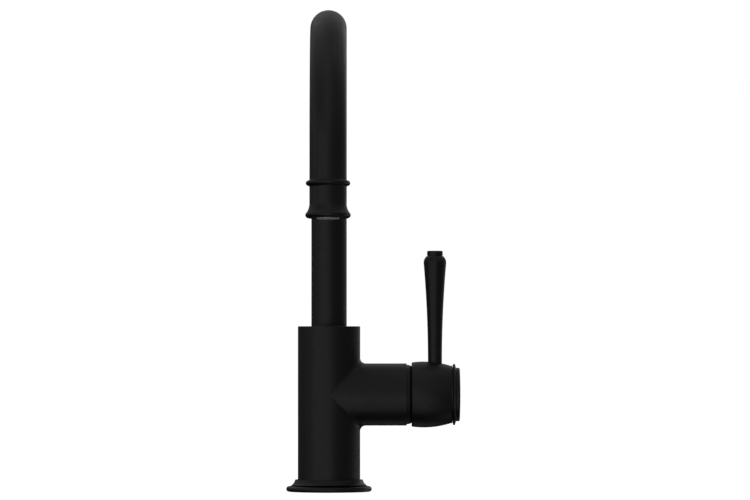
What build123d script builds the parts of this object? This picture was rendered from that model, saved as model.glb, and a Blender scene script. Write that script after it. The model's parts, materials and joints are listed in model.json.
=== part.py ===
from build123d import *
from math import acos, cos, degrees, pi, radians, sin, sqrt
import os

os.makedirs("parts", exist_ok=True)

# A single-lever gooseneck basin mixer, in millimetres.
# The origin is on the deck under the column's axis, with +Z up, +X along the side arm
# and the spout reaching towards -Y.

# How far a cutting shape runs past the face that it cuts
past = 1.0

# Fits, each a gap on the radius
running_fit = 0.08
groove_fit = 0.05
thread_fit = 0.05
socket_fit = 0.05
braze_fit = 0.03

# Column and side arm
body_r = 22.5
column_wall = 3.2
column_edge = 0.4
arm_z = 70.03
arm_end_x = 56.0
arm_edge = 0.2
crotch_r = 4.0
blend_step = 0.05

# Base flange, whose ledge lies between the column and the deck, with widths taken from the column's surface
flange_bead_w = 8.4
flange_bead_h = 3.86
flange_step_w = 5.1
flange_step_h = 0.55
flange_quirk_w = 3.7
flange_quirk_h = 0.45
flange_cove_w = 4.45
flange_cove_bow = 0.33
flange_lip_w = 2.1
flange_lip_h = 0.6
flange_lip_edge = 0.2
flange_top_z = 8.6
flange_ledge_w = 6.0
flange_ledge_h = 2.4
flange_fit = 0.1
gasket_inset = 0.7
gasket_w = 3.6
gasket_h = 1.5

# Inlet sockets, fixing socket and waterways
inlet_x = 8.5
inlet_y = 7.5
inlet_thread_r = 4.5
inlet_thread_len = 11.0
inlet_way_r = 3.2
inlet_drop = 5.0
fixing_x = -10.5
fixing_thread_r = 3.4
fixing_thread_len = 18.0
boss_r = 6.6
boss_recess = 2.0
cavity_roof = 3.5
outlet_way_r = 3.8
outlet_rise = 7.8
well_r = 8.0
well_floor = 4.0

# Gooseneck, whose arch ends short of a half turn, so that its last straight run leans forward
tube_r = 12.8
tube_wall = 1.3
arch_r = 89.0
arch_top_z = 341.93
arch_sweep = 177.0
outlet_run = 51.38

# Spout socket above the arm, and the shank that turns in it, with its grooves and rings
socket_rise = 14.1
socket_depth = 35.2
washer_h = 1.5
washer_w = 2.5
washer_gap = 0.1
shank_play = 0.28
shank_wall = 2.87
shank_shoulder_h = 2.3
shank_spigot_len = 12.0
land = 1.1
slide_ring_h = 3.0
slide_ring_t = 1.4
slide_ring_split = 1.2
o_ring_h = 2.6
o_ring_t = 1.9
o_ring_roundness = 0.45
lock_groove_h = 3.0
lock_groove_t = 1.7

# Grub screw that keeps the spout in the column
grub_r = 2.5
grub_tip_r = 1.2
grub_tip_gap = 0.36
grub_sunk = 0.8
grub_key = 2.5
grub_key_depth = 2.5

# Outlet nozzle, measured up its own axis from its lower face
nozzle_spigot_len = 12.0
nozzle_wall = 2.07
collar_mid = 24.0
collar_swell = 2.5
collar_bead_r = 1.7
collar_foot = 2.45
collar_cove_bow = 0.13
bell_swell = 2.8
bell_lip_r = 2.05
bell_shoulder_r = 1.97
bell_shoulder_turn = 46.0
bell_flare_r = 10.8
aerator_thread_wall = 0.8
aerator_thread_len = 10.7
aerator_washer_h = 1.8
aerator_washer_w = 3.55
aerator_cage_wall = 1.9
aerator_lip_h = 2.0
insert_step = 2.0
insert_stands_out = 0.45
insert_len = 8.4
insert_jet_r = 0.62
insert_jet_edge = 1.1
insert_jet_rings = 3

# Cartridge, from its seat in the arm outwards
bay_depth = 32.0
cartridge_r = 17.5
cartridge_fit = 0.25
cartridge_base_t = 4.5
port_r = 3.0
seal_in_r = 3.7
seal_w = 1.3
seal_t = 1.5
seal_fit = 0.1
peg_r = 2.0
peg_len = 2.8
peg_y = 13.2
peg_fit = 0.1
disc_t = 3.5
disc_gap = 0.03
fixed_disc_room = 1.4
moving_disc_room = 3.8
mix_hollow_r = 7.6
mix_hollow_depth = 1.8
carrier_t = 5.8
ball_r = 2.6
ball_fit = 0.12
ball_depth = 1.3
case_wall = 2.3
case_roof_t = 1.87
case_step = 2.5
case_neck_wall = 3.2
case_neck_len = 6.0
rotor_gap = 0.3
rotor_flange_t = 4.2
rotor_stands_out = 0.6
nut_step = 1.25
nut_len = 5.4
nut_hex_step = 1.0
nut_hex_depth = 2.6
nut_fit = 0.1

# Lever stem and the pin that it tilts on
pivot_rise = 1.5
pin_r = 2.0
pin_recess = 0.32
pin_press = 0.02
stem_w = 8.0
stem_fit = 0.12
stem_slot_len = 14.4
stem_neck_r = 1.9
stem_foot_wall = 3.0
stem_foot_edge = 1.6
stem_reach = 22.5

# Trim ring in the gap between the arm and the hub
trim_step = 0.95
trim_taper = 0.3
trim_taper_len = 2.1
trim_nose_step = 1.75
trim_len = 5.0
trim_bore_gap = 1.6
trim_spigot_len = 2.3

# Handle hub, measured outwards from its rim
hub_gap = 3.7
hub_len = 29.2
hub_swell = 1.3
hub_crown_at = 8.7
hub_curve_r = 64.0
hub_rim_round = 0.4
hub_lip_len = 0.7
hub_lip_step = 0.55
hub_lip_w = 0.2
hub_skirt_gap = 0.55
hub_skirt_len = 6.3
hub_cavity_len = 10.3
hub_cavity_end_r = 17.0
hub_boss_r = 8.6
hub_boss_at = 3.8
hub_web_t = 3.0
end_bore_r = 14.0
end_bore_depth = 6.5

# Screw from the hub's end into the stem
screw_r = 2.5
screw_hole_len = 9.5
screw_tip_gap = 1.0
screw_head_r = 4.25
screw_head_h = 5.0
screw_key = 4.0
screw_key_depth = 2.5

# Bead ring and end cap on the hub
ring_gap = 0.35
ring_neck_step = 1.6
ring_inset = 0.07
ring_bead = 1.69
ring_crest_at = 0.7
ring_crest_w = 1.4
ring_crest_edge = 0.15
ring_back = 0.35
ring_len = 2.8
cap_step = 1.05
cap_len = 2.7
cap_dome = 0.4
cap_edge_r = 0.9
cap_face_t = 2.1
cap_spigot_len = 7.0
cap_spigot_wall = 2.4

# Lever, upright on the hub, with heights taken from its seat
lever_at = 16.8
lever_foot_r = 5.05
lever_flare_share = 0.25
lever_shoulder_r = 8.2
lever_shoulder_h = 72.0
lever_round_r = 6.0
lever_round_turn = 52.4
lever_blank = 4.65
lever_seat_gap = 0.05
finial_r = 5.68
finial_h = 3.5
finial_edge_r = 0.9
finial_neck_gap = 0.25
finial_neck_step = 0.5
finial_spigot_r = 2.0
finial_spigot_len = 6.5
finial_tip_gap = 0.5
stud_r = 3.0
stud_in_hub = 10.0
stud_in_lever = 13.0
stud_tip_gap = 1.0

# Radii of the flange and its gasket
flange_in_r = body_r + flange_fit
flange_lip_r = body_r + flange_lip_w
flange_cove_r = body_r + flange_cove_w
flange_quirk_r = body_r + flange_quirk_w
flange_step_r = body_r + flange_step_w
flange_bead_r = body_r + flange_bead_w
flange_bore_r = body_r - flange_ledge_w
gasket_in_r = body_r + gasket_inset

# Heights in the column, from the deck up
body_foot_z = flange_ledge_h
socket_mouth_z = body_foot_z + boss_recess
inlet_z = arm_z - inlet_drop
socket_floor_z = arm_z + socket_rise
column_top_z = socket_floor_z + socket_depth
shank_floor_z = socket_floor_z + washer_h + washer_gap
lower_slide_z = shank_floor_z + land
lower_o_z = lower_slide_z + slide_ring_h + land
upper_o_z = lower_o_z + o_ring_h + land
lock_z = upper_o_z + o_ring_h + land
upper_slide_z = lock_z + lock_groove_h + land
tube_foot_z = upper_slide_z + slide_ring_h + shank_shoulder_h
grub_z = lock_z + lock_groove_h / 2

# Radii of the spout's pieces
tube_in_r = tube_r - tube_wall
socket_r = tube_r + running_fit
shank_r = socket_r - shank_play
spigot_r = tube_in_r - braze_fit
shank_bore_r = spigot_r - shank_wall
nozzle_bore_r = spigot_r - nozzle_wall
collar_r = tube_r + collar_swell
bell_r = tube_r + bell_swell
aerator_thread_r = tube_r - aerator_thread_wall
aerator_r = aerator_thread_r - thread_fit
cage_bore_r = aerator_r - aerator_cage_wall
insert_wide_r = cage_bore_r - thread_fit
insert_r = insert_wide_r - insert_step

# Ends of the arch and of the straight run below it
lean = radians(180.0 - arch_sweep)
arch_centre_z = arch_top_z - tube_r - arch_r
arch_end_y = -arch_r - arch_r * cos(lean)
arch_end_z = arch_centre_z + arch_r * sin(lean)
outlet_y = arch_end_y - outlet_run * sin(lean)
outlet_z = arch_end_z - outlet_run * cos(lean)

# Places along the arm's axis, from the column's axis outwards
seat_x = arm_end_x - bay_depth
base_top_x = seat_x + cartridge_base_t
fixed_top_x = base_top_x + disc_t
moving_foot_x = fixed_top_x + disc_gap
carrier_foot_x = moving_foot_x + disc_t
carrier_top_x = carrier_foot_x + carrier_t
ball_x = carrier_top_x - ball_depth
rotor_foot_x = carrier_top_x + rotor_gap
case_ceiling_x = rotor_foot_x + rotor_flange_t + rotor_gap
case_shoulder_x = case_ceiling_x + case_roof_t
case_top_x = case_shoulder_x + case_neck_len
pivot_x = case_shoulder_x + pivot_rise
stem_end_x = pivot_x + stem_reach
screw_seat_x = stem_end_x + hub_web_t
hub_rim_x = arm_end_x + hub_gap
hub_crown_x = hub_rim_x + hub_crown_at
hub_end_x = hub_rim_x + hub_len
end_bore_x = hub_end_x - end_bore_depth
ring_crest_x = hub_end_x + ring_crest_at
ring_end_x = hub_end_x + ring_len
cap_edge_x = ring_end_x + cap_len
lever_x = hub_rim_x + lever_at

# Radii along the arm's axis
bay_r = cartridge_r + cartridge_fit
case_inner_r = cartridge_r - case_wall
case_neck_r = cartridge_r - case_step
case_neck_in_r = case_neck_r - case_neck_wall
rotor_r = case_neck_in_r - running_fit
moving_disc_r = case_inner_r - moving_disc_room
nut_thread_r = bay_r + nut_step
nut_r = nut_thread_r - thread_fit
trim_r = body_r - trim_step
hub_crown_r = body_r + hub_swell

# The three ports of the cartridge, as places across the arm's axis
ports = [(-inlet_y, -inlet_drop), (inlet_y, -inlet_drop), (0.0, outlet_rise)]

# Frames whose own Z runs along the side arm, and up the nozzle's axis
arm_frame = Plane(origin=(0, 0, arm_z), x_dir=(0, 1, 0), z_dir=(1, 0, 0))
nozzle_frame = Plane(origin=(0, outlet_y, outlet_z), x_dir=(1, 0, 0), z_dir=(0, sin(lean), cos(lean)))


def rod(radius, low, high, x=0.0, y=0.0):
    """A round bar along Z between two heights."""
    return Pos(x, y, (low + high) / 2) * Cylinder(radius, high - low)


def ring(outer, inner, low, high):
    """A round ring around Z between two heights."""
    return rod(outer, low, high) - rod(inner, low - past, high + past)


def block(width, depth, low, high):
    """A square-cornered bar along Z between two heights."""
    return Pos(0, 0, (low + high) / 2) * Box(width, depth, high - low)


def turned(*edges):
    """A solid of revolution around Z, from the edges of its half outline, drawn as radius and height."""
    return revolve(Plane.XZ * make_face(edges), Axis.Z)


def hex_socket(flats, low, high):
    """A six-sided hole along Z."""
    outline = RegularPolygon(flats / 2, 6, major_radius=False)
    return Pos(0, 0, low) * extrude(outline, high - low)


def rod_across(radius, height, low, high):
    """A round bar along +Y at a height."""
    frame = Plane(origin=(0, 0, height), x_dir=(1, 0, 0), z_dir=(0, 1, 0))
    return frame.location * rod(radius, low, high)


def save(node, shape, frame=None):
    """Place a shape from its own frame, and write it under the node's name."""
    if frame is not None:
        shape = frame.location * shape
    export_step(shape, f"parts/{node}.step")


def body_outside():
    """Column and side arm in one casting, with the round in the crotch and both outer edges broken."""
    column = rod(body_r, body_foot_z, column_top_z)
    column = chamfer(column.edges().group_by(Axis.Z)[-1], column_edge)
    arm = arm_frame.location * rod(body_r - blend_step, 0, arm_end_x)
    arm = chamfer(arm.edges().group_by(Axis.X)[-1], arm_edge)
    joined = column + arm
    seam = [e for e in joined.edges() if is_crotch_edge(e)]
    return fillet(seam, crotch_r)


def is_crotch_edge(edge):
    """Whether an edge is the seam where the arm runs into the column."""
    middle = edge.position_at(0.5)
    box = edge.bounding_box()
    in_column = box.min.X > -crotch_r and box.max.X < body_r + crotch_r
    at_arm = abs(middle.Z - arm_z) < body_r + crotch_r
    return in_column and at_arm and box.max.Z - box.min.Z > body_r


def mixer_body():
    """The cast body: an open cavity below with three bosses, the waterways, the spout socket and the bay."""
    solid = body_outside()
    cavity_top_z = arm_z - body_r - cavity_roof
    cavity = rod(body_r - column_wall, 0, cavity_top_z)
    for x, y in [(inlet_x, inlet_y), (inlet_x, -inlet_y), (fixing_x, 0.0)]:
        cavity -= rod(boss_r, socket_mouth_z, cavity_top_z + past, x, y)
    solid -= cavity

    for y in (inlet_y, -inlet_y):
        solid -= rod(inlet_thread_r, 0, socket_mouth_z + inlet_thread_len, inlet_x, y)
        solid -= rod(inlet_way_r, socket_mouth_z, inlet_z + inlet_way_r, inlet_x, y)
        solid -= arm_frame.location * rod(inlet_way_r, inlet_x, seat_x + past, y, -inlet_drop)
    solid -= rod(fixing_thread_r, 0, socket_mouth_z + fixing_thread_len, fixing_x, 0.0)

    well_floor_z = inlet_z + inlet_way_r + well_floor
    solid -= rod(well_r, well_floor_z, socket_floor_z + past)
    solid -= arm_frame.location * rod(outlet_way_r, 0, seat_x + past, 0.0, outlet_rise)
    solid -= rod(socket_r, socket_floor_z, column_top_z + past)
    solid -= rod_across(grub_r, grub_z, 0, body_r + past)

    solid -= arm_frame.location * rod(bay_r, seat_x, arm_end_x + past)
    solid -= arm_frame.location * rod(nut_thread_r, case_shoulder_x - nut_fit, arm_end_x + past)
    for y in (peg_y, -peg_y):
        solid -= arm_frame.location * rod(peg_r + peg_fit, seat_x - peg_len - peg_fit, seat_x + past, y)
    return solid


def base_flange():
    """Moulded ring: a bead on the deck, a quirk, a cove and a lip around the column, with a ledge under it."""
    bead_round = flange_bead_h / 2
    bead_in = flange_bead_r - bead_round
    quirk_z = flange_bead_h + flange_step_h
    cove_z = quirk_z + flange_quirk_h
    cove_foot = (flange_cove_r, cove_z)
    cove_top = (flange_lip_r, flange_top_z - flange_lip_h)
    edges = [
        Line((flange_bore_r, 0), (bead_in, 0)),
        CenterArc((bead_in, bead_round), bead_round, -90, 180),
        Polyline((bead_in, flange_bead_h), (flange_step_r, flange_bead_h), (flange_step_r, quirk_z),
                 (flange_quirk_r, quirk_z), (flange_quirk_r, cove_z), cove_foot),
        SagittaArc(cove_foot, cove_top, flange_cove_bow),
        Polyline(cove_top, (flange_lip_r - flange_lip_edge, flange_top_z),
                 (flange_in_r, flange_top_z), (flange_in_r, flange_ledge_h),
                 (flange_bore_r, flange_ledge_h), (flange_bore_r, 0)),
    ]
    groove_out_r = gasket_in_r + gasket_w + groove_fit
    return turned(*edges) - ring(groove_out_r, gasket_in_r - groove_fit, -past, gasket_h)


def base_gasket():
    """Rubber ring in the flange's underside."""
    return ring(gasket_in_r + gasket_w, gasket_in_r, 0, gasket_h)


def spout_path(foot_z, run):
    """Centre line of the gooseneck: up, over the arch, and down the leaning straight run."""
    half = radians(arch_sweep / 2)
    middle = (0, -arch_r + arch_r * cos(half), arch_centre_z + arch_r * sin(half))
    end = (0, arch_end_y, arch_end_z)
    foot = (0, arch_end_y - run * sin(lean), arch_end_z - run * cos(lean))
    riser = Line((0, 0, foot_z), (0, 0, arch_centre_z))
    arch = ThreePointArc((0, 0, arch_centre_z), middle, end)
    return riser + arch + Line(end, foot)


def spout_tube():
    """The bent tube, from the shank's shoulder to the nozzle's collar."""
    path = spout_path(tube_foot_z, outlet_run - collar_mid)
    section = Plane((0, 0, tube_foot_z)) * (Circle(tube_r) - Circle(tube_in_r))
    tube = sweep(section, path=path)
    expected = pi * (tube_r ** 2 - tube_in_r ** 2) * path.length
    print(f"spout_tube volume {tube.volume:.1f}, section times length {expected:.1f}")
    return tube


def spout_shank():
    """Turned brass piece: grooves for slide rings, seals and the grub screw, and a spigot in the tube."""
    solid = ring(shank_r, shank_bore_r, shank_floor_z, tube_foot_z)
    solid += ring(spigot_r, shank_bore_r, tube_foot_z, tube_foot_z + shank_spigot_len)
    for low, height, depth in [
        (lower_slide_z, slide_ring_h, slide_ring_t),
        (upper_slide_z, slide_ring_h, slide_ring_t),
        (lower_o_z, o_ring_h, o_ring_t),
        (upper_o_z, o_ring_h, o_ring_t),
        (lock_z, lock_groove_h, lock_groove_t),
    ]:
        solid -= ring(shank_r + past, shank_r - depth, low, low + height)
    return solid


def spout_bearing_rings():
    """Two split plastic rings that the spout turns on."""
    inner = shank_r - slide_ring_t + groove_fit
    outer = socket_r - running_fit
    rings = []
    for low in (lower_slide_z, upper_slide_z):
        slide = ring(outer, inner, low + groove_fit, low + slide_ring_h - groove_fit)
        split = Pos(0, outer, 0) * block(slide_ring_split, outer, low, low + slide_ring_h)
        rings.append(slide - split)
    return Compound(rings)


def spout_o_rings():
    """Two seals, drawn at the shape they are squeezed to."""
    inner = shank_r - o_ring_t + groove_fit
    outer = socket_r - running_fit / 2
    seals = []
    for low in (lower_o_z, upper_o_z):
        seal = ring(outer, inner, low + groove_fit, low + o_ring_h - groove_fit)
        seals.append(fillet(seal.edges(), o_ring_roundness * (outer - inner)))
    return Compound(seals)


def spout_thrust_washer():
    """Plastic washer on the socket's floor."""
    outer = socket_r - running_fit
    return ring(outer, outer - washer_w, socket_floor_z, socket_floor_z + washer_h)


def spout_retaining_screw():
    """Grub screw from the back of the column, whose tip runs in the shank's groove."""
    outer = body_r - grub_sunk
    shoulder = socket_r + running_fit
    tip = shank_r - lock_groove_t + grub_tip_gap
    solid = rod(grub_r - thread_fit, shoulder, outer)
    solid += rod(grub_tip_r, tip, shoulder)
    solid -= hex_socket(grub_key, outer - grub_key_depth, outer + past)
    frame = Plane(origin=(0, 0, grub_z), x_dir=(1, 0, 0), z_dir=(0, 1, 0))
    return frame.location * solid


def bell_outline():
    """Half outline of the nozzle's outside below the neck, and the height where it meets the neck."""
    shoulder_x = bell_r - bell_shoulder_r
    turn = radians(bell_shoulder_turn)
    joint_r = shoulder_x + bell_shoulder_r * cos(turn)
    joint_z = bell_lip_r + bell_shoulder_r * sin(turn)
    flare_turn = acos((bell_flare_r - joint_r + tube_r) / bell_flare_r)
    top = joint_z + bell_flare_r * sin(flare_turn)
    lip = CenterArc((bell_r - bell_lip_r, bell_lip_r), bell_lip_r, -90, 90)
    shoulder = CenterArc((shoulder_x, bell_lip_r), bell_shoulder_r, 0, bell_shoulder_turn)
    flare = CenterArc((tube_r + bell_flare_r, top), bell_flare_r, 180, degrees(flare_turn))
    return [lip, shoulder, flare], top


def spout_nozzle():
    """Turned outlet end: spigot in the tube, collar bead, plain neck, and the bell around the aerator."""
    bell, bell_top = bell_outline()
    low = collar_mid - collar_foot
    high = collar_mid + collar_foot
    bead_r = collar_r - collar_bead_r
    bead_low = collar_mid - collar_bead_r
    bead_high = collar_mid + collar_bead_r
    sleeve_r = tube_r + running_fit / 2
    spigot_top = collar_mid + nozzle_spigot_len
    edges = bell + [
        Line((tube_r, bell_top), (tube_r, low)),
        SagittaArc((tube_r, low), (bead_r, bead_low), collar_cove_bow),
        CenterArc((bead_r, collar_mid), collar_bead_r, -90, 180),
        SagittaArc((bead_r, bead_high), (tube_r, high), collar_cove_bow),
        Polyline((tube_r, high), (sleeve_r, high), (sleeve_r, collar_mid), (spigot_r, collar_mid),
                 (spigot_r, spigot_top), (nozzle_bore_r, spigot_top), (nozzle_bore_r, aerator_thread_len),
                 (aerator_thread_r, aerator_thread_len), (aerator_thread_r, 0), (bell_r - bell_lip_r, 0)),
    ]
    return turned(*edges)


def aerator_housing():
    """Threaded cage in the bell, with a lip that keeps the insert in."""
    solid = ring(aerator_r, cage_bore_r, 0, aerator_thread_len - aerator_washer_h)
    return solid + ring(aerator_r, insert_r + thread_fit, 0, aerator_lip_h)


def aerator_insert():
    """Light grey flow straightener: a stepped plug with a field of small jets."""
    step = aerator_lip_h + thread_fit
    solid = rod(insert_r, -insert_stands_out, step) + rod(insert_wide_r, step, insert_len)
    pitch = (insert_r - insert_jet_edge) / insert_jet_rings
    jets = []
    for ring_number in range(insert_jet_rings + 1):
        count = max(1, 6 * ring_number)
        for k in range(count):
            angle = 2 * pi * k / count
            x = ring_number * pitch * cos(angle)
            y = ring_number * pitch * sin(angle)
            jets.append(rod(insert_jet_r, -insert_stands_out - past, insert_len + past, x, y))
    return solid - jets


def aerator_washer():
    """Rubber washer between the cage and the nozzle's inner shoulder."""
    return ring(aerator_r, aerator_r - aerator_washer_w,
                aerator_thread_len - aerator_washer_h, aerator_thread_len)


def cartridge_base():
    """Plastic bottom of the cartridge: three ports with seal grooves, and two locating pegs."""
    solid = rod(cartridge_r, seat_x, base_top_x)
    for y in (peg_y, -peg_y):
        solid += rod(peg_r, seat_x - peg_len, seat_x + past, y)
    for x, y in ports:
        solid -= rod(port_r, seat_x - past, base_top_x + past, x, y)
        solid -= rod(seal_in_r + seal_w + seal_fit, seat_x - past, seat_x + seal_t, x, y)
    return solid


def cartridge_seals():
    """Three ring seals squeezed between the cartridge's bottom and its seat."""
    seals = [Pos(x, y) * ring(seal_in_r + seal_w, seal_in_r, seat_x, seat_x + seal_t) for x, y in ports]
    return Compound(seals)


def fixed_disc():
    """Ceramic disc that stands still, with two inlet holes and one outlet hole."""
    solid = rod(case_inner_r - fixed_disc_room, base_top_x, fixed_top_x)
    for x, y in ports:
        solid -= rod(port_r, base_top_x - past, fixed_top_x + past, x, y)
    return solid


def moving_disc():
    """Ceramic disc that slides and turns, with the mixing hollow in its face."""
    solid = rod(moving_disc_r, moving_foot_x, carrier_foot_x)
    return solid - rod(mix_hollow_r, moving_foot_x - past, moving_foot_x + mix_hollow_depth)


def disc_carrier():
    """Plastic piece on the moving disc, with the pocket that the stem's ball drives."""
    solid = rod(moving_disc_r, carrier_foot_x, carrier_top_x)
    floor_x = ball_x - ball_r - 2 * ball_fit
    return solid - rod(ball_r + ball_fit, floor_x, carrier_top_x + past)


def cartridge_housing():
    """Plastic case with a shoulder for the nut and a neck that the rotor turns in."""
    solid = ring(cartridge_r, case_inner_r, base_top_x, case_ceiling_x)
    solid += ring(cartridge_r, case_neck_in_r, case_ceiling_x, case_shoulder_x)
    return solid + ring(case_neck_r, case_neck_in_r, case_shoulder_x, case_top_x)


def cartridge_rotor():
    """Lever guide: a flange inside the case, a neck in its mouth, a slot for the stem and the pin's hole."""
    top_x = case_top_x + rotor_stands_out
    solid = rod(case_inner_r - running_fit, rotor_foot_x, case_ceiling_x - rotor_gap)
    solid += rod(rotor_r, rotor_foot_x, top_x)
    solid -= block(stem_w + 2 * stem_fit, stem_slot_len, rotor_foot_x - past, top_x + past)
    return solid - along_pin(pin_r + pin_press, rotor_r)


def along_pin(radius, reach):
    """A round bar across the stem at the pivot, reaching as far on both sides."""
    frame = Plane(origin=(0, 0, pivot_x), x_dir=(0, 0, 1), z_dir=(1, 0, 0))
    return frame.location * rod(radius, -reach, reach)


def pivot_pin():
    """Steel pin that the lever stem tilts on."""
    return along_pin(pin_r, rotor_r - pin_recess)


def lever_stem():
    """Brass stem: a ball in the carrier, a thin neck, a square bar with the pivot hole and a tapped end."""
    bar_foot_x = pivot_x - pin_r - stem_foot_wall
    solid = block(stem_w, stem_w, bar_foot_x, stem_end_x)
    solid = chamfer(solid.edges().group_by(Axis.Z)[0], stem_foot_edge)
    solid += rod(stem_neck_r, ball_x, bar_foot_x + past)
    solid += Pos(0, 0, ball_x) * Sphere(ball_r)
    solid -= along_pin(pin_r + running_fit / 2, stem_w)
    return solid - rod(screw_r, stem_end_x - screw_hole_len, stem_end_x + past)


def cartridge_nut():
    """Ring nut that clamps the cartridge, with a six-sided mouth for the key."""
    high = case_shoulder_x + nut_len
    solid = ring(nut_r, case_neck_r + nut_fit, case_shoulder_x, high)
    return solid - hex_socket(2 * (case_neck_r + nut_hex_step), high - nut_hex_depth, high + past)


def arm_trim_ring():
    """Conical ring screwed into the arm's end, seen as the dark neck behind the hub."""
    inner = case_neck_r + trim_bore_gap
    foot_x = arm_end_x - trim_spigot_len
    nose_x = arm_end_x + trim_len
    edges = Polyline(
        (inner, foot_x), (nut_r, foot_x), (nut_r, arm_end_x), (trim_r, arm_end_x),
        (trim_r - trim_taper, arm_end_x + trim_taper_len), (trim_r - trim_nose_step, nose_x),
        (inner, nose_x), close=True)
    return turned(edges)


def hub_radius(x):
    """The hub's outer radius at a place along the arm."""
    return hub_crown_r - hub_curve_r + sqrt(hub_curve_r ** 2 - (x - hub_crown_x) ** 2)


def hub_envelope(grow=0.0):
    """The barrel that the hub is turned to, grown by a gap."""
    rim_r = hub_radius(hub_rim_x) + grow
    end_r = hub_radius(hub_end_x) + grow
    edges = [
        Line((0, hub_rim_x), (rim_r, hub_rim_x)),
        ThreePointArc((rim_r, hub_rim_x), (hub_crown_r + grow, hub_crown_x), (end_r, hub_end_x)),
        Polyline((end_r, hub_end_x), (0, hub_end_x), (0, hub_rim_x)),
    ]
    return turned(*edges)


def handle_hub():
    """Barrel hub: a skirt over the trim ring, a web with the stem's socket, and the lever's tapped hole."""
    solid = hub_envelope()
    solid = fillet(solid.edges().group_by(Axis.Z)[0], hub_rim_round)
    solid += hub_lip()
    skirt_in_r = trim_r + hub_skirt_gap
    skirt_end_x = hub_rim_x + hub_skirt_len
    cavity_end_x = hub_rim_x + hub_cavity_len
    boss_x = hub_rim_x + hub_boss_at
    cavity = rod(skirt_in_r, hub_rim_x - past, skirt_end_x)
    cavity += Pos(0, 0, (skirt_end_x + cavity_end_x) / 2) * Cone(
        skirt_in_r, hub_cavity_end_r, cavity_end_x - skirt_end_x)
    cavity -= rod(hub_boss_r, boss_x, cavity_end_x + past)
    solid -= cavity

    socket = stem_w + 2 * socket_fit
    solid -= block(socket, socket, boss_x - past, stem_end_x + socket_fit)
    solid -= rod(screw_r + thread_fit, stem_end_x, screw_seat_x + past)
    solid -= rod(screw_head_r + socket_fit, screw_seat_x, end_bore_x + past)
    solid -= rod(end_bore_r, end_bore_x, hub_end_x + past)
    return solid - stud_bar(stud_r + thread_fit, hub_radius(lever_x) - stud_in_hub, hub_crown_r + past)


def hub_lip():
    """The small flared lip that ends the barrel beside the bead ring."""
    foot_x = hub_end_x - hub_lip_len
    lip_r = hub_radius(hub_end_x) + hub_lip_step
    edges = Polyline(
        (end_bore_r, foot_x), (hub_radius(foot_x), foot_x), (lip_r, hub_end_x - hub_lip_w),
        (lip_r, hub_end_x), (end_bore_r, hub_end_x), close=True)
    return turned(edges)


def stud_bar(radius, low, high):
    """A round bar along the lever's axis, in the arm's frame, between two distances from the arm's axis."""
    frame = Plane(origin=(0, 0, lever_x), x_dir=(1, 0, 0), z_dir=(0, 1, 0))
    return frame.location * rod(radius, low, high)


def ring_foot_radius():
    """The bead ring's radius where it meets the hub."""
    return hub_radius(hub_end_x) - ring_inset


def hub_ring():
    """Bead ring clamped between the hub and its cap."""
    foot_r = ring_foot_radius()
    neck_r = foot_r - ring_neck_step
    crest_r = foot_r + ring_bead
    edge_r = crest_r - ring_crest_edge
    foot_x = hub_end_x + ring_gap
    crest_end_x = ring_crest_x + ring_crest_w
    edges = Polyline(
        (end_bore_r, hub_end_x), (neck_r, hub_end_x), (neck_r, foot_x), (foot_r, foot_x),
        (edge_r, ring_crest_x), (crest_r, ring_crest_x + ring_crest_edge),
        (crest_r, crest_end_x - ring_crest_edge), (edge_r, crest_end_x),
        (foot_r, ring_end_x - ring_back), (foot_r - cap_step, ring_end_x),
        (end_bore_r, ring_end_x), close=True)
    return turned(edges)


def dome_drop(radius, rim_r, height):
    """How far a shallow dome of this rim and height has dropped at a radius."""
    sphere_r = (rim_r ** 2 + height ** 2) / (2 * height)
    return sphere_r - sqrt(sphere_r ** 2 - radius ** 2)


def hub_cap():
    """End cap with a slightly domed face and a hollow spigot in the hub's end bore."""
    cap_r = ring_foot_radius() - cap_step
    rim_r = cap_r - cap_edge_r
    round_x = cap_edge_x - cap_edge_r
    top_x = cap_edge_x + cap_dome
    half_r = rim_r / 2
    dome_mid = (half_r, top_x - dome_drop(half_r, rim_r, cap_dome))
    spigot_out_r = end_bore_r - socket_fit
    spigot_in_r = spigot_out_r - cap_spigot_wall
    foot_x = ring_end_x - cap_spigot_len
    hollow_x = cap_edge_x - cap_face_t
    edges = [
        Line((cap_r, ring_end_x), (cap_r, round_x)),
        CenterArc((rim_r, round_x), cap_edge_r, 0, 90),
        ThreePointArc((rim_r, cap_edge_x), dome_mid, (0, top_x)),
        Polyline((0, top_x), (0, hollow_x), (spigot_in_r, hollow_x), (spigot_in_r, foot_x),
                 (spigot_out_r, foot_x), (spigot_out_r, ring_end_x), (cap_r, ring_end_x)),
    ]
    return turned(*edges)


def handle_screw():
    """Cap screw through the hub's web into the stem's end."""
    tip_x = stem_end_x - screw_hole_len + screw_tip_gap
    head_top_x = screw_seat_x + screw_head_h
    solid = rod(screw_head_r - thread_fit, screw_seat_x, head_top_x)
    solid += rod(screw_r - thread_fit, tip_x, screw_seat_x)
    return solid - hex_socket(screw_key, head_top_x - screw_key_depth, head_top_x + past)


def lever_seat():
    """Height of the hub's surface on the lever's axis."""
    return arm_z + hub_radius(lever_x)


def lever_crown():
    """Radius and height of the flat on the lever's top."""
    turn = radians(lever_round_turn)
    radius = lever_shoulder_r - lever_round_r * (1 - cos(turn))
    return radius, lever_seat() + lever_shoulder_h + lever_round_r * sin(turn)


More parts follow.
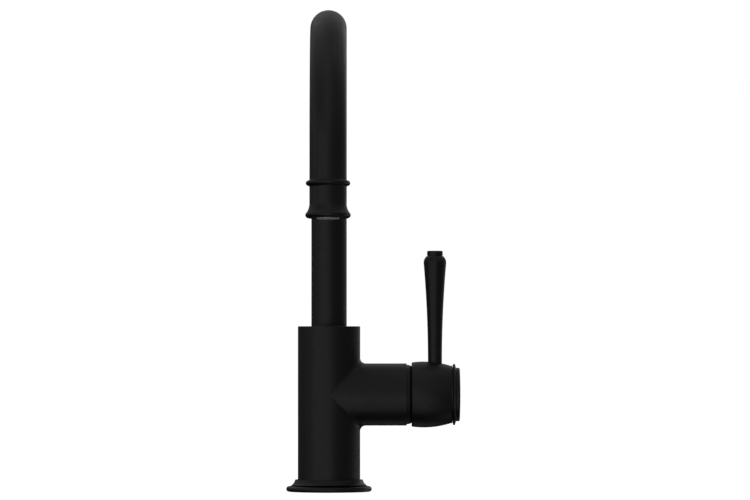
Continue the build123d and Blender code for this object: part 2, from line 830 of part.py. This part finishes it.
def lever_grip():
    """Tapered round lever, flaring upwards, with its foot cut to the hub and a rounded shoulder."""
    seat_z = lever_seat()
    foot_z = seat_z - lever_blank
    shoulder_z = seat_z + lever_shoulder_h
    crown_r, crown_z = lever_crown()
    flare_mid_r = lever_foot_r + lever_flare_share * (lever_shoulder_r - lever_foot_r)
    flare_mid = (flare_mid_r, seat_z + lever_shoulder_h / 2)
    edges = [
        Polyline((0, foot_z), (lever_foot_r, foot_z), (lever_foot_r, seat_z)),
        ThreePointArc((lever_foot_r, seat_z), flare_mid, (lever_shoulder_r, shoulder_z)),
        CenterArc((lever_shoulder_r - lever_round_r, shoulder_z), lever_round_r, 0, lever_round_turn),
        Polyline((crown_r, crown_z), (0, crown_z), (0, foot_z)),
    ]
    solid = Pos(lever_x, 0, 0) * turned(*edges)
    solid -= arm_frame.location * hub_envelope(lever_seat_gap)
    stud_top_z = seat_z + stud_in_lever + stud_tip_gap
    solid -= rod(stud_r + thread_fit, foot_z - past, stud_top_z, lever_x)
    bore_foot_z = crown_z - finial_spigot_len - finial_tip_gap
    return solid - rod(finial_spigot_r + thread_fit, bore_foot_z, crown_z + past, lever_x)


def lever_stud():
    """Threaded stud that joins the lever to the hub."""
    seat_z = lever_seat()
    return rod(stud_r, seat_z - stud_in_hub + thread_fit, seat_z + stud_in_lever, lever_x)


def lever_finial():
    """Small button screwed into the lever's top."""
    crown_r, crown_z = lever_crown()
    neck_z = crown_z + finial_neck_gap
    button = rod(finial_r, neck_z, neck_z + finial_h)
    button = fillet(button.edges().group_by(Axis.Z)[-1], finial_edge_r)
    neck = rod(finial_r - finial_neck_step, crown_z, neck_z)
    spigot = rod(finial_spigot_r, crown_z - finial_spigot_len, crown_z)
    return Pos(lever_x, 0, 0) * (button + neck + spigot)


save("mixer_body", mixer_body())
save("base_flange", base_flange())
save("base_gasket", base_gasket())

save("spout_tube", spout_tube())
save("spout_shank", spout_shank())
save("spout_bearing_rings", spout_bearing_rings())
save("spout_o_rings", spout_o_rings())
save("spout_thrust_washer", spout_thrust_washer())
save("spout_retaining_screw", spout_retaining_screw())
save("spout_nozzle", spout_nozzle(), nozzle_frame)
save("aerator_housing", aerator_housing(), nozzle_frame)
save("aerator_insert", aerator_insert(), nozzle_frame)
save("aerator_washer", aerator_washer(), nozzle_frame)

save("cartridge_base", cartridge_base(), arm_frame)
save("cartridge_seals", cartridge_seals(), arm_frame)
save("fixed_disc", fixed_disc(), arm_frame)
save("moving_disc", moving_disc(), arm_frame)
save("disc_carrier", disc_carrier(), arm_frame)
save("cartridge_housing", cartridge_housing(), arm_frame)
save("cartridge_rotor", cartridge_rotor(), arm_frame)
save("pivot_pin", pivot_pin(), arm_frame)
save("lever_stem", lever_stem(), arm_frame)
save("cartridge_nut", cartridge_nut(), arm_frame)
save("arm_trim_ring", arm_trim_ring(), arm_frame)

save("handle_hub", handle_hub(), arm_frame)
save("hub_ring", hub_ring(), arm_frame)
save("hub_cap", hub_cap(), arm_frame)
save("handle_screw", handle_screw(), arm_frame)
save("lever_grip", lever_grip())
save("lever_stud", lever_stud())
save("lever_finial", lever_finial())
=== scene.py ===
import json
from math import cos, radians, sin

import bpy
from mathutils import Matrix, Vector


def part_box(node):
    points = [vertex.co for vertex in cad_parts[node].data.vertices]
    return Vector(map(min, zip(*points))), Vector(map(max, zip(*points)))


# A satin-matt black gooseneck basin mixer on a white floor, in metres.
# +Z is up, +X runs along the side arm, and the spout reaches towards -Y, where the camera stands.

# Camera: a long lens in front of the spout, which looks slightly up and to the right
CAMERA_PLACE = Vector((0.014, -3.543, 0.1196))
CAMERA_AIM = Vector((0.0332, 0.0, 0.1744))
CAMERA_LENS_MM = 235.4
CAMERA_SENSOR_MM = 36.0
CAMERA_NEAR = 0.1
CAMERA_FAR = 60.0

# Places that the lights point at: the middle of the object and the top of the arch
MIDDLE = Vector((0.0, -0.04, 0.17))
CROWN = Vector((0.0, -0.089, 0.342))

# Soft round lights: name, target, azimuth in degrees from the spout's side round towards +X,
# elevation in degrees, distance, width and watts. A light below the floor shines through it.
LIGHTS = [
    ("key_front_left", MIDDLE, -45, -5, 2.6, 2.4, 5.5),
    ("front_left", MIDDLE, -12, 8, 2.6, 1.3, 1.4),
    ("front_low", MIDDLE, 0, -20, 2.6, 1.3, 3.1),
    ("front_below", MIDDLE, 0, -50, 2.6, 1.3, 2.4),
    ("front_right_below", MIDDLE, 45, -35, 2.6, 1.3, 0.6),
    ("right_below", MIDDLE, 105, -60, 2.6, 1.3, 1.0),
    ("arch_front", CROWN, 0, 30, 0.7, 0.5, 0.14),
    ("arch_front_high", CROWN, 0, 65, 0.7, 0.3, 0.06),
    ("arch_right_high", CROWN, 90, 65, 0.7, 0.3, 0.07),
    ("left", MIDDLE, -90, 10, 2.6, 1.3, 1.2),
    ("left_top", MIDDLE, -90, 70, 2.6, 2.4, 2.5),
    ("right_low", MIDDLE, 120, -20, 2.6, 1.3, 3.0),
    ("right_high", MIDDLE, 120, 40, 2.6, 1.3, 0.9),
    ("back_right", MIDDLE, 150, 10, 2.6, 1.3, 2.4),
    ("back_high", MIDDLE, 180, 35, 2.6, 2.4, 2.9),
    ("back_below", MIDDLE, 180, -50, 2.6, 1.3, 0.7),
    ("back_left", MIDDLE, -135, 35, 2.6, 2.4, 1.4),
]

# Even light of the sky, which is full where a direction's Z is over SKY_FADE and none where it
# is under -SKY_FADE
SKY_GREY = 0.16
SKY_FADE = 0.3

# Floor and backdrop
FLOOR_RADIUS = 9.0
FLOOR_SIDES = 96
FLOOR_GLOW = 0.92
FLOOR_GREY = 0.60
FLOOR_ROUGHNESS = 0.9
BACKDROP_WHITE = 1.005

# Noise fields: the range that one mostly stays in, and how many finer layers it has
NOISE_LOW = 0.3
NOISE_HIGH = 0.7
NOISE_DETAIL = 2.0

# Black coating: the greys and the roughnesses that it wanders between, and the number of
# features in a metre of its tone, its roughness and its grain
COATING_GREYS = (0.0055, 0.0085)
COATING_ROUGHNESS = (0.40, 0.46)
COATING_IOR = 1.5
COATING_TONE_SCALE = 60.0
COATING_ROUGHNESS_SCALE = 220.0
COATING_GRAIN_SCALE = 1400.0
COATING_GRAIN_DETAIL = 3.0

# Moulded and machined surfaces: the darkest tone and the range of roughness as shares of the
# material's own, and features in a metre as above
PLAIN_DARKEST = 0.9
PLAIN_ROUGHNESS = (0.85, 1.15)
PLAIN_TONE_SCALE = 75.0
PLAIN_ROUGHNESS_SCALE = 300.0
PLAIN_GRAIN_SCALE = 1200.0

# Depth of the fine grain of every surface
GRAIN_DEPTH = 0.000004

# Colour of bare brass
BRASS = (0.72, 0.50, 0.22)

# Painted shade: a metal of this colour reflects glancing light only, painted where a groove lies
# in deep shadow
PAINTED_SHADE_BLACK = (0.0, 0.0, 0.0)

# Slots of the pieces that are coated black all over
COATED_SLOTS = ("body_black", "spout_black", "handle_black")

# Finishes of the other pieces by slot: name of the material, colour, roughness and metallic
PLAIN_FINISHES = {
    "brass": ("bare_brass", BRASS, 0.30, 1.0),
    "steel": ("steel", (0.55, 0.55, 0.55), 0.28, 1.0),
    "rubber": ("seal_rubber", (0.012, 0.012, 0.012), 0.60, 0.0),
    "slide_plastic": ("slide_plastic", (0.55, 0.55, 0.55), 0.45, 0.0),
    "cage_plastic": ("cage_plastic", (0.020, 0.020, 0.020), 0.45, 0.0),
    "insert_plastic": ("insert_plastic", (0.88, 0.88, 0.88), 0.42, 0.0),
    "cartridge_plastic": ("case_plastic", (0.60, 0.60, 0.60), 0.40, 0.0),
    "ceramic": ("ceramic", (0.80, 0.80, 0.80), 0.15, 0.0),
}

# Where the body casting is bare brass: in the cavity under the column, the spout's socket and
# the cartridge bay. The coating reaches a little way into the socket.
CAVITY_RADIUS = 0.0200
CAVITY_TOP = 0.0450
SOCKET_RADIUS = 0.01295
SOCKET_COATED = 0.003
BAY_RADIUS = 0.0195

# Groove between the base ring's cove and its bead, where the black above is painted shade
GROOVE_SHADE_LOW = 0.00387
GROOVE_SHADE_HIGH = 0.00480
GROOVE_SHADE_RADIUS = 0.0277

# A length beyond the object's reach, where a cylinder has no end of its own
FAR = 1.0


def feed(tree, socket, value):
    """Gives an input its value, which is a constant or the output of another node."""
    if isinstance(value, bpy.types.NodeSocket):
        tree.links.new(value, socket)
    else:
        socket.default_value = value


def node(tree, kind, **inputs):
    """A new node with some of its inputs fed, by the inputs' names with underscores for spaces."""
    made = tree.nodes.new(kind)
    for name, value in inputs.items():
        feed(tree, made.inputs[name.replace("_", " ")], value)
    return made


def maths(tree, kind, operation, *values):
    """A new node that works out one operation on values, each a constant or an output."""
    made = tree.nodes.new(kind)
    made.operation = operation
    for socket, value in zip(made.inputs, values):
        feed(tree, socket, value)
    return made


def on_numbers(tree, operation, *values):
    """The result of an operation on numbers."""
    return maths(tree, "ShaderNodeMath", operation, *values).outputs["Value"]


def mix_colours(tree, share, first, second):
    """A colour between two, with a share of the second."""
    mix = tree.nodes.new("ShaderNodeMix")
    mix.data_type = "RGBA"
    feed(tree, mix.inputs["Factor"], share)
    feed(tree, mix.inputs["A"], first)
    feed(tree, mix.inputs["B"], second)
    return mix.outputs["Result"]


def mix_shaders(tree, share, first, second):
    """A shader between two, with a share of the second."""
    mix = tree.nodes.new("ShaderNodeMixShader")
    for socket, value in zip(mix.inputs, (share, first, second)):
        feed(tree, socket, value)
    return mix.outputs["Shader"]


def opaque(colour):
    """A colour as a node's input takes it."""
    return (*colour, 1.0)


def grey(level):
    """A neutral colour as a node's input takes it."""
    return opaque((level, level, level))


def noise(tree, where, scale, detail=NOISE_DETAIL):
    """A noise field with so many features in a metre."""
    field = node(tree, "ShaderNodeTexNoise", Vector=where, Scale=scale, Detail=detail)
    return field.outputs["Fac"]


def spread(tree, value, low, high):
    """A noise field stretched between two levels."""
    ramp = node(tree, "ShaderNodeMapRange", Value=value, From_Min=NOISE_LOW, From_Max=NOISE_HIGH,
                To_Min=low, To_Max=high)
    return ramp.outputs["Result"]


def grain(tree, where, scale, detail=NOISE_DETAIL):
    """The slope of a surface with a fine grain, as a shader's normal."""
    raised = node(tree, "ShaderNodeBump", Distance=GRAIN_DEPTH,
                  Height=noise(tree, where, scale, detail))
    return raised.outputs["Normal"]


def new_material(name):
    """An empty node material: the material, its tree and its shader."""
    material = bpy.data.materials.new(name)
    material.use_nodes = True
    tree = material.node_tree
    return material, tree, tree.nodes["Principled BSDF"]


def place(tree):
    """The piece's own coordinates in metres, which move with it."""
    return tree.nodes.new("ShaderNodeTexCoord").outputs["Object"]


def inside_cylinder(tree, where, along, centre, radius, start, end):
    """1 inside a cylinder and 0 outside.

    Its axis runs along "X" or "Z" through a centre, from a start to an end.
    """
    across = (0.0, 1.0, 1.0) if along == "X" else (1.0, 1.0, 0.0)
    offset = maths(tree, "ShaderNodeVectorMath", "SUBTRACT", where, centre).outputs["Vector"]
    flat = maths(tree, "ShaderNodeVectorMath", "MULTIPLY", offset, across).outputs["Vector"]
    from_axis = maths(tree, "ShaderNodeVectorMath", "LENGTH", flat).outputs["Value"]
    on_axis = node(tree, "ShaderNodeSeparateXYZ", Vector=where).outputs[along]
    near = on_numbers(tree, "LESS_THAN", from_axis, radius)
    after = on_numbers(tree, "GREATER_THAN", on_axis, start)
    before = on_numbers(tree, "LESS_THAN", on_axis, end)
    return on_numbers(tree, "MULTIPLY", near, on_numbers(tree, "MULTIPLY", after, before))


def black_coating(name, metal=None, cylinders=()):
    """Satin-matt black powder coating, with a slightly uneven tone and sheen and a fine grain.

    Inside the cylinders, each as inside_cylinder takes it, it gives way to a metal, or to painted
    shade where that metal is black.
    """
    material, tree, shader = new_material(name)
    where = place(tree)
    low, high = COATING_GREYS
    tone = noise(tree, where, COATING_TONE_SCALE)
    colour = mix_colours(tree, tone, grey(low), grey(high))
    # Where the coating gives way: bare brass, or painted shade in a groove
    bare = None
    for cylinder in cylinders:
        inside = inside_cylinder(tree, where, *cylinder)
        bare = inside if bare is None else on_numbers(tree, "MAXIMUM", bare, inside)
    if bare is not None:
        colour = mix_colours(tree, bare, colour, opaque(metal))
        feed(tree, shader.inputs["Metallic"], bare)
    feed(tree, shader.inputs["Base Color"], colour)
    roughness = spread(tree, noise(tree, where, COATING_ROUGHNESS_SCALE), *COATING_ROUGHNESS)
    feed(tree, shader.inputs["Roughness"], roughness)
    feed(tree, shader.inputs["IOR"], COATING_IOR)
    feed(tree, shader.inputs["Normal"],
         grain(tree, where, COATING_GRAIN_SCALE, COATING_GRAIN_DETAIL))
    return material


def plain_material(name, colour, roughness, metallic):
    """A moulded or machined surface with a slightly uneven tone and roughness and a fine grain."""
    material, tree, shader = new_material(name)
    where = place(tree)
    darkest = opaque(PLAIN_DARKEST * c for c in colour)
    tone = noise(tree, where, PLAIN_TONE_SCALE)
    feed(tree, shader.inputs["Base Color"], mix_colours(tree, tone, darkest, opaque(colour)))
    low, high = (share * roughness for share in PLAIN_ROUGHNESS)
    roughness_field = noise(tree, where, PLAIN_ROUGHNESS_SCALE)
    feed(tree, shader.inputs["Roughness"], spread(tree, roughness_field, low, high))
    feed(tree, shader.inputs["Metallic"], metallic)
    feed(tree, shader.inputs["Normal"], grain(tree, where, PLAIN_GRAIN_SCALE))
    return material


def bare_places(record):
    """The cylinders inside which the body casting is bare brass."""
    column = (0.0, 0.0, 0.0)
    # The side arm's axis is the one that the lever turns on
    joints = record["behaviour"]["joints"]
    arm_height = next(j for j in joints if j["name"] == "temperature_turn")["pos_m"][2]
    casting_top = float(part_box("mixer_body")[1][2])
    return [
        ("Z", column, CAVITY_RADIUS, -FAR, CAVITY_TOP),
        ("X", (0.0, 0.0, arm_height), BAY_RADIUS, 0.0, FAR),
        ("Z", column, SOCKET_RADIUS, -FAR, casting_top - SOCKET_COATED),
    ]


def dress_nodes(frame):
    """Gives every CAD node its material, by the node's name or else by its slot."""
    record = frame["record"]
    # Painted shade: the base ring's groove is painted black
    painted_groove_shade = ("Z", (0.0, 0.0, 0.0), GROOVE_SHADE_RADIUS, GROOVE_SHADE_LOW, GROOVE_SHADE_HIGH)
    by_slot = dict.fromkeys(COATED_SLOTS, black_coating("black_coating"))
    by_slot.update((slot, plain_material(*finish)) for slot, finish in PLAIN_FINISHES.items())
    by_node = {
        "mixer_body": black_coating("coated_casting", BRASS, bare_places(record)),
        "base_flange": black_coating("coated_flange_painted_shade", PAINTED_SHADE_BLACK, [painted_groove_shade]),
    }
    for part in record["subparts"]:
        mesh = frame["nodes"][part["node"]].data
        mesh.materials.clear()
        mesh.materials.append(by_node.get(part["node"]) or by_slot[part["material_slot"]])


def make_camera():
    """The camera at the photograph's place."""
    data = bpy.data.cameras.new("camera")
    data.lens = CAMERA_LENS_MM
    data.sensor_width = CAMERA_SENSOR_MM
    data.clip_start = CAMERA_NEAR
    data.clip_end = CAMERA_FAR
    camera = bpy.data.objects.new("camera", data)
    camera.location = CAMERA_PLACE
    camera.rotation_euler = (CAMERA_AIM - CAMERA_PLACE).to_track_quat("-Z", "Y").to_euler()
    bpy.context.scene.collection.objects.link(camera)
    bpy.context.scene.camera = camera


def make_light(name, target, azimuth, elevation, distance, width, watts):
    """A round soft light that points at a place on the object."""
    data = bpy.data.lights.new(name, "AREA")
    data.shape = "DISK"
    data.size = width
    data.energy = watts
    light = bpy.data.objects.new(name, data)
    turn = radians(azimuth)
    rise = radians(elevation)
    away = Vector((sin(turn) * cos(rise), -cos(turn) * cos(rise), sin(rise)))
    light.location = target + distance * away
    light.rotation_euler = (-away).to_track_quat("-Z", "Y").to_euler()
    light.visible_camera = False
    bpy.context.scene.collection.objects.link(light)


def make_floor():
    """A round white floor that casts no shadow or light, and is clear when seen from below."""
    bpy.ops.mesh.primitive_circle_add(vertices=FLOOR_SIDES, radius=FLOOR_RADIUS, fill_type="NGON")
    floor = bpy.context.object
    floor.name = "floor"
    material, tree, shader = new_material("floor_white")
    feed(tree, shader.inputs["Base Color"], grey(FLOOR_GREY))
    feed(tree, shader.inputs["Roughness"], FLOOR_ROUGHNESS)
    feed(tree, shader.inputs["Specular IOR Level"], 0.0)
    feed(tree, shader.inputs["Emission Color"], grey(1.0))
    feed(tree, shader.inputs["Emission Strength"], FLOOR_GLOW)
    from_below = tree.nodes.new("ShaderNodeNewGeometry").outputs["Backfacing"]
    clear = tree.nodes.new("ShaderNodeBsdfTransparent")
    surface = mix_shaders(tree, from_below, shader.outputs["BSDF"], clear.outputs["BSDF"])
    feed(tree, tree.nodes["Material Output"].inputs["Surface"], surface)
    floor.data.materials.append(material)
    floor.visible_diffuse = False
    floor.visible_glossy = False
    floor.visible_shadow = False


def make_surroundings():
    """White where the camera looks, and the even light of the sky for the object."""
    world = bpy.data.worlds.new("surroundings")
    bpy.context.scene.world = world
    world.use_nodes = True
    tree = world.node_tree
    direction = tree.nodes.new("ShaderNodeTexCoord").outputs["Generated"]
    height = node(tree, "ShaderNodeSeparateXYZ", Vector=direction).outputs["Z"]
    fade = node(tree, "ShaderNodeMapRange", Value=height, From_Min=-SKY_FADE, From_Max=SKY_FADE,
                To_Max=SKY_GREY)
    fade.interpolation_type = "SMOOTHSTEP"
    sky = node(tree, "ShaderNodeBackground", Color=grey(1.0), Strength=fade.outputs["Result"])
    white = node(tree, "ShaderNodeBackground", Color=grey(1.0), Strength=BACKDROP_WHITE)
    seen = tree.nodes.new("ShaderNodeLightPath").outputs["Is Camera Ray"]
    surface = mix_shaders(tree, seen, sky.outputs["Background"], white.outputs["Background"])
    feed(tree, tree.nodes["World Output"].inputs["Surface"], surface)


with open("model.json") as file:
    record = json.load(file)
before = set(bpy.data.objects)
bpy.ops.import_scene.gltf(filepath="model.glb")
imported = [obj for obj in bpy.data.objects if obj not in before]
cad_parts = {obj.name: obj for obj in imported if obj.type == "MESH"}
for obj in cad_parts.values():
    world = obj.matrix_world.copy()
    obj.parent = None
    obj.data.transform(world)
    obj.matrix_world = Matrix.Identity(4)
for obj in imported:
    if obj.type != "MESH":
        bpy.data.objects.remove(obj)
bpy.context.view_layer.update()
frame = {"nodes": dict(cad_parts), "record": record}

make_camera()
bpy.context.scene.view_settings.view_transform = "Standard"
make_surroundings()
make_floor()
for row in LIGHTS:
    make_light(*row)
dress_nodes(frame)
